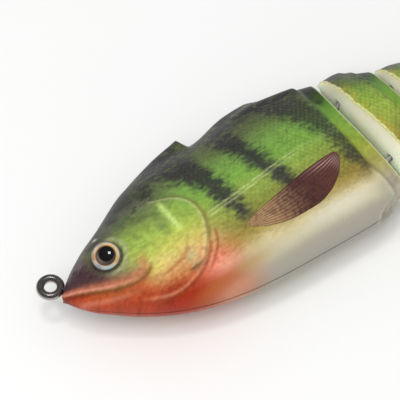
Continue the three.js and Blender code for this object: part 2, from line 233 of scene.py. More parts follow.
def relief(x, y):
    """Moulded detail in millimetres along the normal: gill cover, mouth, eye socket and lateral line."""
    out = np.zeros(np.shape(x))
    d, side, along = line_distance(x, y, GILL_EDGE)
    inside = -side * d
    fade = smooth(0.0, 0.25, along)
    out += 0.34 * smooth(-0.3, 0.4, inside) * np.exp(-np.clip(inside, 0, None) / 5.0) * fade
    out -= 0.07 * bump(inside, -0.6, 0.5) * fade
    d, side, along = line_distance(x, y, PREOPERCLE)
    ends = smooth(0, 0.2, along) * (1 - smooth(0.75, 1, along))
    out += (0.10 * bump(side * d, -0.7, 0.6) - 0.12 * bump(d, 0, 0.4)) * ends
    for path in GILL_RAYS:
        d, side, along = line_distance(x, y, path)
        ends = smooth(0, 0.1, along) * (1 - smooth(0.7, 1, along))
        out += (0.08 * bump(d, 0, 0.35) - 0.09 * bump(side * d, 0.6, 0.4)) * ends
    d, side, along = line_distance(x, y, MOUTH)
    out -= 0.12 * bump(d, 0, 0.4) * (1 - smooth(0.9, 1, along))
    out += 0.09 * smooth(0, 0.5, side * d) * np.exp(-np.clip(side * d, 0, None) / 1.2) * smooth(0, 0.1, along)
    d, side, along = line_distance(x, y, LIP)
    out -= 0.06 * bump(d, 0, 0.4) * smooth(0.1, 0.4, along) * (1 - smooth(0.8, 1, along))
    radius = np.hypot(x - LURE_EYE[0], (y - LURE_EYE[1]) / 1.08)
    out -= 0.6 * (1 - smooth(3.3, 3.9, radius))
    out += 0.10 * bump(radius, 4.9, 0.7)
    for nx, ny, nr in [(5.2, 1.4, 0.55), (6.6, 0.9, 0.45)]:
        pit = np.hypot(x - nx, y - ny)
        out += -0.3 * bump(pit, 0, nr * 0.7) + 0.14 * bump(pit, nr * 1.5, 0.3)
    line_y = curve(LATERAL_X, LATERAL_Y, x)
    shown = smooth(33.8, 35, x) * (1 - 0.6 * smooth(50, 62, x))
    rails = bump(y - line_y, 0.42, 0.2) + bump(y - line_y, -0.42, 0.2) - bump(y - line_y, 0, 0.2)
    out += 0.09 * rails * shown
    streak = bump(x, 27.3 + 0.01 * (y - 0.5) ** 2, 0.6) * smooth(-5.5, -3.5, y) * (1 - smooth(2.5, 4, y))
    return out + 0.18 * streak


# ---------------------------------------------------------------- paint

# Flank colours against height, lowest first; the greyer stops at the bottom of the belly are painted shade
# where the belly turns down.
FLANK = [(-22.5, "#a6a397"), (-20, "#a9a392"), (-18, "#beb696"), (-16.3, "#c2b072"), (-14.5, "#a8944a"),
         (-12, "#90803a"), (-9, "#83873a"), (-6, "#8fa046"), (-3, "#84a444"), (0, "#78a544"), (3, "#77a048"),
         (6, "#6d8c44"), (9, "#606f40"), (12, "#515a3a"), (14, "#3c3f36"), (16.5, "#29292b")]
CHEEK = [(-21, "#b06e50"), (-19, "#9e3614"), (-17, "#9a2c10"), (-15, "#b04a24"), (-13, "#c67c48"),
         (-11, "#cc9e60"), (-8.5, "#cab95f"), (-5.5, "#aeb850"), (-2.5, "#96af4c"), (0.5, "#88a14a"),
         (3.5, "#6f7e46"), (6.5, "#5b5d4b"), (9, "#4d4940"), (13, "#403f36")]
# Lower edge of the dark back.
DARK_BACK_X = [0, 14, 20, 28, 34, 44, 60, 72, 90, 134]
DARK_BACK_Y = [2, 6.0, 7.2, 8.6, 11.0, 15.6, 14.6, 13.2, 9.6, 2.4]
# Soft dark spots on the cheek: centre x and y, then half sizes.
CHEEK_SPOTS = [(24.6, -1.8, 1.3, 1.5), (22.6, 2.6, 1.6, 0.8), (20.2, 5.4, 2.2, 1.0), (25.4, 1.2, 0.9, 0.8),
               (17.6, 5.0, 1.6, 1.2)]
# Dark bars down each flank: height, centre and half width at a few stops, then the strength of the bar
# and the height where it fades out.
BARS = [
    ([(16, 34.5, 6.0), (12.7, 35.4, 4.8), (8.5, 36.3, 4.4), (4.3, 37.9, 3.5), (0.2, 39.3, 2.8),
      (-4, 40.1, 2.3), (-8, 40.8, 1.8), (-12, 41.5, 1.1)], 0.93, -10.5),
    ([(15, 48.4, 3.4), (8.5, 48.9, 3.0), (4.3, 50.0, 3.0), (0.2, 51.0, 2.7), (-4, 52.0, 2.4),
      (-7.3, 53.3, 1.8), (-12, 54.5, 1.5)], 0.93, -12),
    ([(16, 63.2, 6.4), (14.3, 63.5, 5.6), (11, 64.8, 4.4), (7.7, 65.8, 4.2), (4.3, 67.4, 3.4),
      (0.2, 68.1, 2.8), (-4, 68.9, 2.4), (-8, 69.5, 2.1), (-12.3, 70.0, 1.7)], 0.80, -14),
    ([(16, 86.5, 4.5), (8, 86.3, 2.8), (0, 86.8, 2.3), (-8, 87.4, 1.7), (-14, 88, 1.0)], 0.85, -11),
    ([(12, 99.5, 3.6), (4, 99.6, 2.4), (-4, 100, 1.8), (-10, 100.5, 1.0)], 0.85, -9),
    ([(10, 112, 3.0), (2, 112.2, 2.0), (-6, 112.6, 1.2)], 0.85, -6),
    ([(10, 124, 3.0), (2, 124.2, 2.0), (-6, 124.6, 1.2)], 0.8, -5),
]


def scale_cell(x, y, seed):
    """One random value from -1 to 1 for each scale: staggered rows of cells along the flank."""
    row = np.floor(y / 0.85).astype(int)
    column = np.floor(x / 1.15 + 0.5 * (row % 2)).astype(int)
    lattice = np.random.RandomState(seed).rand(256, 256) * 2 - 1
    return lattice[row % 256, column % 256]


def bar_weight(x, y):
    """How much of the dark bars lies at a point: edges ragged by soft noise and by single scales."""
    ragged = 0.7 * cloud(x, y, 1.6, 11) + 1.3 * cloud(x / 2.6, y, 0.42, 12) + 0.15 * scale_cell(x, y, 13)
    weight = np.zeros(np.shape(x))
    for stops, strength, low in BARS:
        heights = [stop[0] for stop in stops][::-1]
        centre = np.interp(y, heights, [stop[1] for stop in stops][::-1])
        half = np.interp(y, heights, [stop[2] for stop in stops][::-1])
        edge = half - np.abs(x - centre) + ragged
        this = strength * smooth(-1.7, 2.0, edge) * smooth(low - 3.0, low + 2.0, y)
        weight = np.maximum(weight, this)
    return weight


def blob(x, y, cx, cy, rx, ry):
    """Soft oval patch."""
    return np.exp(-(((x - cx) / rx) ** 2) - ((y - cy) / ry) ** 2)


def paint(x, y):
    """Sprayed perch pattern at a point of the side: colour bands, then bars, then marks on the head."""
    speck = cloud(x, y, 0.45, 21)
    wander = y + 0.6 * cloud(x, y, 5, 1) + 0.4 * cloud(x, y, 1.6, 2) + 0.35 * speck
    taper = np.clip((x - 76) / 58, 0, 1)
    flank_y = wander / (1 - 0.62 * taper)
    colour = ramp(FLANK, flank_y)
    colour = tint(colour, "#a9b444", 0.5 * bump(flank_y, -1, 6) * smooth(70, 80, x))
    share = (1 - smooth(27, 39, x + 0.25 * (y + 8)))[..., None]
    colour = colour + (ramp(CHEEK, wander) - colour) * share
    edge = curve(DARK_BACK_X, DARK_BACK_Y, x)
    back = smooth(-1.2, 2.6, y - edge + 1.3 * cloud(x, y, 2.0, 3) + 0.8 * scale_cell(x, y, 4))
    colour = tint(colour, "#2b292b", 0.92 * back)
    colour = tint(colour, "#3a2638", 0.85 * blob(x, y, 34.5, 14.8, 4.4, 2.4))
    colour = tint(colour, "#59663a", 0.7 * blob(x, y, 41.2, 16.8, 2.0, 2.4))
    belly_glow = smooth(-13, -17, y) * smooth(32, 40, x)
    colour = tint(colour, "#d9d2b4", 0.35 * belly_glow * (1 - smooth(-18.5, -21, y)))
    # Painted highlight: a pale glossy streak along the lower flank.
    colour = tint(colour, "#e0dccb", 0.6 * blob(x, y, 61, -17.5, 9, 1.5))
    colour = tint(colour, "#353237", bar_weight(x, y))
    nape = smooth(17, 22, x) * (1 - smooth(30, 36, x)) * smooth(1.5, 6.5, y)
    mottle = smooth(-0.15, 0.4, cloud(x, y, 1.9, 5) + 0.4 * scale_cell(x, y, 6))
    colour = tint(colour, "#30322a", 0.85 * nape * mottle)
    cheek = smooth(15, 19, x) * (1 - smooth(28, 33, x)) * smooth(-6, -2, y)
    colour = tint(colour, "#4d5a30", 0.28 * cheek * smooth(-0.1, 0.6, cloud(x, y, 1.5, 7)))
    flank = smooth(-17.5, -12, y) * smooth(30, 38, x)
    colour = tint(colour, "#46422a", 0.35 * smooth(0.3, 0.8, speck) * flank)
    # Throat, pink behind the gills, and tan below them; a painted highlight low behind the gills and painted
    # shade on the belly before the first crease.
    throat = line_distance(x, y, [(0, -2.4), (4, -7), (9, -11.2), (14, -14.3), (20, -17), (27, -18.6)])[0]
    colour = tint(colour, "#a52a0c", 0.95 * bump(throat, 0, 3.0) * (1 - smooth(19, 31, x)))
    colour = tint(colour, "#821803", 0.6 * blob(x, y, 18.5, -14.8, 4.0, 1.7))
    colour = tint(colour, "#e4826a", 0.8 * blob(x, y, 30.2, -15.0, 3.6, 2.5))
    colour = tint(colour, "#f2b294", 0.55 * blob(x, y, 32.5, -16.2, 3.5, 1.6))
    colour = tint(colour, "#b4622c", 0.7 * blob(x, y, 28.0, -18.4, 5.0, 1.2))
    # Painted highlight low behind the gills.
    colour = tint(colour, "#d99c7c", 0.6 * blob(x, y, 31.5, -20.4, 5.5, 1.5))
    colour = tint(colour, "#b08c4c", 0.6 * blob(x, y, 37.5, -18.2, 4.5, 1.3))
    # Painted shade on the belly just before the first crease.
    colour = tint(colour, "#8e8976", 0.6 * blob(x, y, 73.5, -18.2, 3.5, 1.6))
    # Snout.
    d, side, along = line_distance(x, y, MOUTH)
    above = smooth(-0.2, 1.6, side * d)
    colour = tint(colour, "#58464a", 0.75 * above * (1 - smooth(8.0, 15.5, x + 0.6 * y)))
    colour = tint(colour, "#402430", 0.9 * above * (1 - smooth(6.5, 10.5, x + 0.35 * y)))
    below = (1 - smooth(-0.6, 0.1, side * d)) * (1 - smooth(14, 19, x))
    colour = tint(colour, "#a83a18", 0.8 * below)
    # Painted sheen: a lighter lavender patch on the dark snout.
    colour = tint(colour, "#6c5a5e", 0.5 * blob(x, y, 6.4, 2.4, 1.8, 1.2))
    colour = tint(colour, "#3a3034", 0.85 * blob(x, y, 12.0, 5.0, 3.8, 2.2))
    lip = smooth(0, 0.4, side * d) * bump(d, 0.8, 0.5 + 0.06 * x) * (1 - smooth(16, 20, x))
    colour = tint(colour, "#b86a4c", 0.8 * lip)
    colour = tint(colour, "#d8907c", 0.7 * bump(side * d, 0.5, 0.3) * (1 - smooth(8, 17, x)))
    colour = tint(colour, "#6c1c0c", 0.8 * bump(side * d, -0.15, 0.45) * (1 - smooth(0.9, 1, along)))
    # Painted highlight along the lower lip, below the mouth line.
    colour = tint(colour, "#cf7c5e", 0.55 * bump(side * d, -1.7, 0.4) * (1 - smooth(9, 16, x)))
    # Eye surround: a pale ring behind the eye, the dark socket round it, and a small pale spot above it.
    radius = np.hypot(x - LURE_EYE[0], (y - LURE_EYE[1]) / 1.08)
    behind = smooth(-0.5, 1.0, (x - LURE_EYE[0]) / 3 - 0.15 * (y - LURE_EYE[1]))
    # Painted highlight on the socket's rim behind the eye.
    colour = tint(colour, "#aaa686", 0.6 * bump(radius, 4.15, 0.5) * behind)
    # Painted shade in the sunken socket round the eye.
    colour = tint(colour, "#2c2226", 0.8 * (1 - smooth(3.25, 3.6, radius)))
    # Small painted highlight on the socket rim above the eye.
    colour = tint(colour, "#ece6d2", 0.8 * blob(x, y, 12.7, 6.0, 0.45, 0.3))
    # Gill cover: its edge, the pale streak and dark spots of the cheek, the flap, the preopercle line and the
    # gill rays.
    d, side, along = line_distance(x, y, GILL_EDGE)
    inside = -side * d
    # Painted highlight along the raised edge of the gill cover, and painted shadow just behind it.
    colour = tint(colour, "#d8cf98", 0.42 * bump(inside, 0.3, 0.35) * smooth(0.05, 0.3, along))
    colour = tint(colour, "#6c5030", 0.5 * bump(inside, -0.45, 0.5) * smooth(0.15, 0.45, along))
    streak = bump(x, 27.3 + 0.012 * (y - 0.5) ** 2, 0.65) * smooth(-6, -2.5, y) * (1 - smooth(2, 4.5, y))
    colour = tint(colour, "#c3dc7e", 0.85 * streak)
    for cx, cy, rx, ry in CHEEK_SPOTS:
        colour = tint(colour, "#4f6040", 0.55 * blob(x, y, cx, cy, rx, ry))
    colour = tint(colour, "#b4a972", 0.85 * blob(x, y, 26.3, -10.9, 1.4, 1.9))
    # Painted shadow under the gill flap.
    colour = tint(colour, "#6a4426", 0.75 * blob(x, y, 26.2, -13.3, 1.5, 0.4))
    d, side, along = line_distance(x, y, PREOPERCLE)
    shown = smooth(0, 0.2, along) * (1 - smooth(0.7, 1, along))
    colour = tint(colour, "#a3582a", 0.65 * bump(side * d, 0.1, 0.4) * shown)
    for path in GILL_RAYS:
        d, side, along = line_distance(x, y, path)
        shown = smooth(0, 0.1, along) * (1 - smooth(0.8, 1, along))
        # Painted highlight along each gill ray's ridge, and painted shade in the groove beside it.
        colour = tint(colour, "#dc9468", 0.5 * bump(d, 0, 0.3) * shown)
        colour = tint(colour, "#8a3a1c", 0.55 * bump(side * d, 0.6, 0.4) * shown)
    # Lateral line.
    line_y = curve(LATERAL_X, LATERAL_Y, x)
    shown = smooth(33.8, 35, x) * (1 - 0.75 * smooth(52, 64, x))
    rail = bump(y - line_y, 0.42, 0.17) + bump(y - line_y, -0.42, 0.17)
    colour = tint(colour, "#d4dc9c", 0.48 * rail * shown)
    streak = cloud(x / 2.2, y, 0.4, 23)
    colour = tint(colour, "#5c6f3a", 0.5 * smooth(0.2, 0.8, streak) * smooth(8, 12, y) * smooth(22, 30, x))
    fine = 0.8 * streak + 0.5 * speck + 0.4 * cloud(x, y, 0.22, 22)
    return np.clip(colour * (1 + 0.22 * fine[..., None] * smooth(-18.5, -14, y)[..., None]), 0, 1)


def scale_strength(x, y):
    """How plainly the scales show: strong on the flank, faint on the head, belly and ridge of the back."""
    on_flank = smooth(30, 36, x) * smooth(-14, -10, y) * (1 - 0.4 * smooth(12, 15, y))
    rows = 0.4 + 0.6 * smooth(52, 62, x)
    return np.clip(on_flank * rows * (0.45 + 0.55 * bar_weight(x, y)) + 0.03, 0, 1)


# ---------------------------------------------------------------- mesh making

TURNS = [Matrix.Identity(4)]
for hinge_x, angle in zip(HINGE_X, REST_ANGLE):
    to_hinge = Matrix.Translation((hinge_x, 0, 0))
    swing = Matrix.Rotation(math.radians(angle), 4, "Y")
    TURNS.append(TURNS[-1] @ to_hinge @ swing @ to_hinge.inverted())


def to_frame(points, section):
    """Lure millimetres to frame metres: the section's rest turn, then the shift to the frame's origin."""
    turn = np.array(TURNS[section])
    flat = points.reshape(-1, 3)
    return (flat @ turn[:3, :3].T + turn[:3, 3] + ORIGIN) * MM


def add_mesh(name, points, faces, section, replaces, slot, materials, values=None, face_slots=None):
    """Makes a piece from lure points and faces, with its vertex values, riding on its section's body."""
    mesh = bpy.data.meshes.new(name)
    mesh.from_pydata(to_frame(points, section), [], faces)
    for material in materials:
        mesh.materials.append(material)
    if face_slots is not None:
        mesh.polygons.foreach_set("material_index", face_slots)
    for key, value in (values or {}).items():
        kind = "FLOAT_COLOR" if value.ndim == 2 else "FLOAT"
        layer = mesh.attributes.new(key, kind, "POINT")
        if value.ndim == 2:
            value = np.concatenate([value, np.ones((len(value), 1))], axis=1)
            layer.data.foreach_set("color", value.ravel())
        else:
            layer.data.foreach_set("value", value)
    mesh.polygons.foreach_set("use_smooth", np.full(len(mesh.polygons), True))
    mesh.validate()
    piece = bpy.data.objects.new(name, mesh)
    bpy.context.scene.collection.objects.link(piece)
    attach(piece, BODIES[section])
    if replaces:
        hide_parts(*replaces)
    return piece


def grid_faces(rows, columns, wrap=False):
    """Quads of a grid of points given row by row; wrap joins the last column to the first."""
    i = np.arange(rows - 1)[:, None]
    j = np.arange(columns if wrap else columns - 1)[None, :]
    a, b = i * columns + j, i * columns + (j + 1) % columns
    return np.stack([a, b, b + columns, a + columns], axis=-1).reshape(-1, 4)


def weld(points, faces, tolerance=1e-4):
    """Joins points that coincide and drops faces that fold up, keeping each face's corner order."""
    keys = np.round(points / tolerance).astype(np.int64)
    _, first, owner = np.unique(keys, axis=0, return_index=True, return_inverse=True)
    owner = owner.reshape(-1)
    kept, sources = [], []
    for number, face in enumerate(owner[faces]):
        corners = [c for k, c in enumerate(face) if c != face[k - 1]]
        if len(corners) > 2:
            kept.append(corners)
            sources.append(number)
    return first, owner, kept, sources


def tube(path, radii, side, sides=20, name=None, **piece):
    """Round wire along a flat path: a circle at each point, across the tangent, with closed ends."""
    path, side = np.asarray(path, float), np.asarray(side, float)
    tangent = np.gradient(path, axis=0)
    tangent /= np.linalg.norm(tangent, axis=1)[:, None]
    across = np.cross(tangent, side)
    angle = np.linspace(0, 2 * np.pi, sides, endpoint=False)
    radii = np.broadcast_to(radii, len(path))
    ring = np.cos(angle)[None, :, None] * side + np.sin(angle)[None, :, None] * across[:, None, :]
    points = (path[:, None, :] + radii[:, None, None] * ring).reshape(-1, 3)
    faces = grid_faces(len(path), sides, wrap=True)[:, ::-1].tolist()
    last = (len(path) - 1) * sides
    faces += [list(range(sides)), list(range(last + sides - 1, last - 1, -1))]
    return add_mesh(name, points, faces, **piece)


# ---------------------------------------------------------------- materials


def node_material(name, colour=(0.5, 0.5, 0.5), roughness=0.5, metallic=0.0, **sockets):
    """A material with one Principled shader; named sockets get constant values."""
    material = bpy.data.materials.new(name)
    material.use_nodes = True
    shader = material.node_tree.nodes["Principled BSDF"]
    shader.inputs["Base Color"].default_value = (*colour, 1)
    shader.inputs["Roughness"].default_value = roughness
    shader.inputs["Metallic"].default_value = metallic
    for key, value in sockets.items():
        shader.inputs[key.replace("_", " ")].default_value = value
    return material, material.node_tree, shader


def add_node(tree, kind, **settings):
    """Adds a node and sets its properties, and its inputs where the name is one."""
    node = tree.nodes.new(kind)
    for key, value in settings.items():
        if hasattr(node, key):
            setattr(node, key, value)
        else:
            node.inputs[key.replace("_", " ")].default_value = value
    return node


def math_node(tree, operation, a, b):
    """Math node on two links or numbers."""
    node = add_node(tree, "ShaderNodeMath", operation=operation)
    for socket, value in zip(node.inputs, (a, b)):
        if isinstance(value, (int, float)):
            socket.default_value = value
        else:
            tree.links.new(value, socket)
    return node.outputs[0]


def mix_colour(tree, blend, factor, a, b):
    """Mix node for colours, from links or constants."""
    node = add_node(tree, "ShaderNodeMix", data_type="RGBA", blend_type=blend)
    for socket, value in ((node.inputs[0], factor), (node.inputs[6], a), (node.inputs[7], b)):
        if isinstance(value, (int, float, tuple)):
            socket.default_value = value
        else:
            tree.links.new(value, socket)
    return node.outputs[2]


def scaled_object_coords(tree, scale, angle=0.0):
    """Object coordinates, in metres, multiplied per axis and turned about z."""
    coords = add_node(tree, "ShaderNodeTexCoord")
    mapping = add_node(tree, "ShaderNodeMapping")
    mapping.inputs["Scale"].default_value = scale
    mapping.inputs["Rotation"].default_value = (0, 0, angle)
    tree.links.new(coords.outputs["Object"], mapping.inputs["Vector"])
    return mapping.outputs["Vector"]


def bump_into(tree, shader, height, strength, distance, previous=None):
    """Bump from a height link into the shader's normal."""
    node = add_node(tree, "ShaderNodeBump", Strength=strength, Distance=distance)
    tree.links.new(height, node.inputs["Height"])
    if previous is not None:
        tree.links.new(previous, node.inputs["Normal"])
    tree.links.new(node.outputs["Normal"], shader.inputs["Normal"])
    return node.outputs["Normal"]


def perch_paint():
    """Sprayed pattern from the paint attribute under a clear coat, with fish scales and fine flake."""
    material, tree, shader = node_material("perch_paint", roughness=0.42, Coat_Weight=0.08,
                                           Coat_Roughness=0.2, Specular_IOR_Level=0.22)
    colour = add_node(tree, "ShaderNodeAttribute", attribute_name="paint").outputs["Color"]
    strength = add_node(tree, "ShaderNodeAttribute", attribute_name="scales").outputs["Fac"]
    bands = []
    for angle in (0.62, -0.62):
        place = scaled_object_coords(tree, (1, 1, 0), angle)
        wave = add_node(tree, "ShaderNodeTexWave", Scale=330.0, Distortion=1.2, Detail=1.0, Detail_Scale=1.0)
        tree.links.new(place, wave.inputs["Vector"])
        bands.append(wave.outputs["Fac"])
    groove = add_node(tree, "ShaderNodeMapRange", From_Min=0.05, From_Max=0.45, To_Min=1.0, To_Max=0.0)
    tree.links.new(math_node(tree, "MINIMUM", *bands), groove.inputs["Value"])
    scaled = math_node(tree, "MULTIPLY", groove.outputs["Result"], strength)
    share = math_node(tree, "MULTIPLY", scaled, 0.55)
    dark = mix_colour(tree, "MULTIPLY", share, colour, (0.36, 0.42, 0.30, 1))
    flake = add_node(tree, "ShaderNodeTexNoise", Scale=2600.0, Detail=1.0)
    tree.links.new(scaled_object_coords(tree, (1, 1, 1)), flake.inputs["Vector"])
    spark = add_node(tree, "ShaderNodeMapRange", From_Min=0.56, From_Max=0.74, To_Min=0.0, To_Max=0.05)
    tree.links.new(flake.outputs["Fac"], spark.inputs["Value"])
    lit = mix_colour(tree, "SCREEN", spark.outputs["Result"], dark, (0.55, 0.55, 0.42, 1))
    tree.links.new(lit, shader.inputs["Base Color"])
    grain = add_node(tree, "ShaderNodeTexNoise", Scale=1800.0, Detail=2.0)
    tree.links.new(scaled_object_coords(tree, (1, 1, 1)), grain.inputs["Vector"])
    first = bump_into(tree, shader, grain.outputs["Fac"], 0.10, 0.0002)
    raised = math_node(tree, "MULTIPLY", math_node(tree, "SUBTRACT", 1.0, groove.outputs["Result"]), strength)
    bump_into(tree, shader, raised, 0.35, 0.00010, first)
    return material


def joint_plastic():
    """Cream moulded plastic of the joint faces: a little translucent, satin, with a faint swirl."""
    material, tree, shader = node_material("joint_plastic", roughness=0.32, Subsurface_Weight=0.5,
                                           Subsurface_Scale=0.004, Coat_Weight=0.3, Coat_Roughness=0.15)
    colour = add_node(tree, "ShaderNodeAttribute", attribute_name="paint").outputs["Color"]
    swirl = add_node(tree, "ShaderNodeTexNoise", Scale=260.0, Detail=3.0)
    tree.links.new(scaled_object_coords(tree, (1, 1, 1)), swirl.inputs["Vector"])
    spread = add_node(tree, "ShaderNodeMapRange", From_Min=0.3, From_Max=0.7, To_Min=0.0, To_Max=0.16)
    tree.links.new(swirl.outputs["Fac"], spread.inputs["Value"])
    base = mix_colour(tree, "MULTIPLY", spread.outputs["Result"], colour, (0.72, 0.74, 0.5, 1))
    tree.links.new(base, shader.inputs["Base Color"])
    bump_into(tree, shader, swirl.outputs["Fac"], 0.08, 0.0002)
    return material


def wire_metal(name, colour, roughness):
    """Drawn wire: metal with fine streaks in its roughness and a faint bump."""
    material, tree, shader = node_material(name, colour=colour, roughness=roughness, metallic=1.0)
    streaks = add_node(tree, "ShaderNodeTexNoise", Scale=900.0, Detail=4.0)
    tree.links.new(scaled_object_coords(tree, (1, 1, 4)), streaks.inputs["Vector"])
    spread = add_node(tree, "ShaderNodeMapRange", From_Min=0.3, From_Max=0.7, To_Min=roughness * 0.7,
                      To_Max=roughness * 1.5)
    tree.links.new(streaks.outputs["Fac"], spread.inputs["Value"])
    tree.links.new(spread.outputs["Result"], shader.inputs["Roughness"])
    shade = mix_colour(tree, "MULTIPLY", 0.35, (*colour, 1), streaks.outputs["Color"])
    tree.links.new(shade, shader.inputs["Base Color"])
    bump_into(tree, shader, streaks.outputs["Fac"], 0.05, 0.00005)
    return material


def attribute_gloss(name, roughness, coat, grain_scale, grain_strength):
    """Painted or foil piece coloured by its paint attribute, with fine grain under a coat."""
    material, tree, shader = node_material(name, roughness=roughness, Coat_Weight=coat, Coat_Roughness=0.04)
    colour = add_node(tree, "ShaderNodeAttribute", attribute_name="paint").outputs["Color"]
    grain = add_node(tree, "ShaderNodeTexNoise", Scale=grain_scale, Detail=2.0)
    tree.links.new(scaled_object_coords(tree, (1, 1, 1)), grain.inputs["Vector"])
    spread = add_node(tree, "ShaderNodeMapRange", From_Min=0.35, From_Max=0.65, To_Min=0.0, To_Max=0.25)
    tree.links.new(grain.outputs["Fac"], spread.inputs["Value"])
    base = mix_colour(tree, "MULTIPLY", spread.outputs["Result"], colour, (0.6, 0.58, 0.55, 1))
    tree.links.new(base, shader.inputs["Base Color"])
    bump_into(tree, shader, grain.outputs["Fac"], grain_strength, 0.0001)
    return material


perch = perch_paint()
cream = joint_plastic()
tie_metal = wire_metal("black_nickel_wire", (0.50, 0.45, 0.43), 0.24)
pin_steel = wire_metal("bright_steel_wire", (0.70, 0.70, 0.68), 0.4)
pin_steel.node_tree.nodes["Principled BSDF"].inputs["Metallic"].default_value = 0.6
weight_metal = wire_metal("dull_weight_metal", (0.30, 0.30, 0.32), 0.55)
fin_paint = attribute_gloss("fin_paint", 0.34, 0.5, 2200.0, 0.1)
eye_resin = attribute_gloss("eye_resin", 0.5, 1.0, 1500.0, 0.0)
eye_resin.node_tree.nodes["Principled BSDF"].inputs["Specular IOR Level"].default_value = 0.15
tail_rubber = attribute_gloss("tail_rubber", 0.42, 0.2, 1200.0, 0.12)

# ---------------------------------------------------------------- sections

STEP = 0.26
CAP_ROWS = 34
SEAM_Z = 0.03
SLOT_HALF = 0.68
SLOT_REACH = 1.84
SLOT_DEPTH = 4.6


def face_colour(x, y, inward):
    """Joint face: cream, with overspray towards the rim, greyer at the back, and painted shade deep in the
    joint.
    """
    shape = np.shape(x)
    colour = np.broadcast_to(linear("#f6f7e8"), (*shape, 3)).copy()
    colour = tint(colour, "#c9c6b4", 0.6 * smooth(3, 9, y))
    colour = tint(colour, "#d9dca0", 0.5 * np.exp(-inward / 0.8) * smooth(-16, -6, y))
    # Painted shade: greyer deep in the joint, away from the rim.
    colour = tint(colour, "#c6c69a", 0.5 * smooth(2.5, 8, inward))
    return colour


def collar_colour(colour, x, y, into, to_rim):
    """Paint of the collar behind a section's crease, with painted shade in the crease, a painted highlight
    low in front of it, and the pale rim, partly bare plastic and partly painted highlight.
    """
    spread = 1 - 0.5 * np.clip((x - 76) / 58, 0, 1)
    height = (y + 0.5 * cloud(x, y, 1.3, 41)) / spread
    stops = [(-21, "#b5ad9c"), (-17, "#a8a088"), (-13, "#a39c58"), (-9, "#97a03e"), (-4, "#82a03c"),
             (2, "#6f9a3c"), (7, "#5a8034"), (9.5, "#33481f"), (12, "#1e2219"), (16, "#231a1e")]
    band = ramp(stops, height)
    band = tint(band, "#24341c", 0.85 * blob(x, height, 72.6, 7.6, 1.5, 1.3))
    band = band * (1 + (0.14 * cloud(x, y, 0.5, 42) + 0.14 * cloud(x, y, 1.4, 46))[..., None])
    colour = colour + (band - colour) * smooth(-0.1, 0.5, into)[..., None]
    # Painted shade in the crease line.
    colour = tint(colour, "#3d4a22", 0.3 * bump(into, 0.25, 0.4) * smooth(-15, -10, height))
    # Painted highlight low in front of the crease.
    colour = tint(colour, "#c9cbb8", 0.4 * bump(into, -0.45, 0.4) * (1 - smooth(-17, -13, height)))
    # Pale rim at the rear edge: partly bare plastic, partly painted highlight.
    return tint(colour, "#cfd59a", 0.8 * (1 - smooth(0.22, 0.5, to_rim)))


def ridge_colour(colour, x, y, back_from):
    """Pale moulding edge of a section's front, partly bare plastic and partly painted highlight, ragged, with
    gold overspray just behind it.
    """
    ragged = 0.3 * cloud(x, y, 0.5, 43) + 0.16 * cloud(x, y, 0.25, 44)
    gold = 0.55 * np.clip(0.5 + cloud(x, y, 1.3, 45), 0, 1) * (1 - smooth(1.0, 3.6, back_from))
    colour = tint(colour, "#b9a63a", gold * smooth(-13, -8, y) * (1 - smooth(6, 10, y)))
    # Pale front edge: partly bare plastic, partly painted highlight.
    return tint(colour, "#dcdaa0", 0.9 * (1 - smooth(0.35, 0.75, back_from + ragged)))


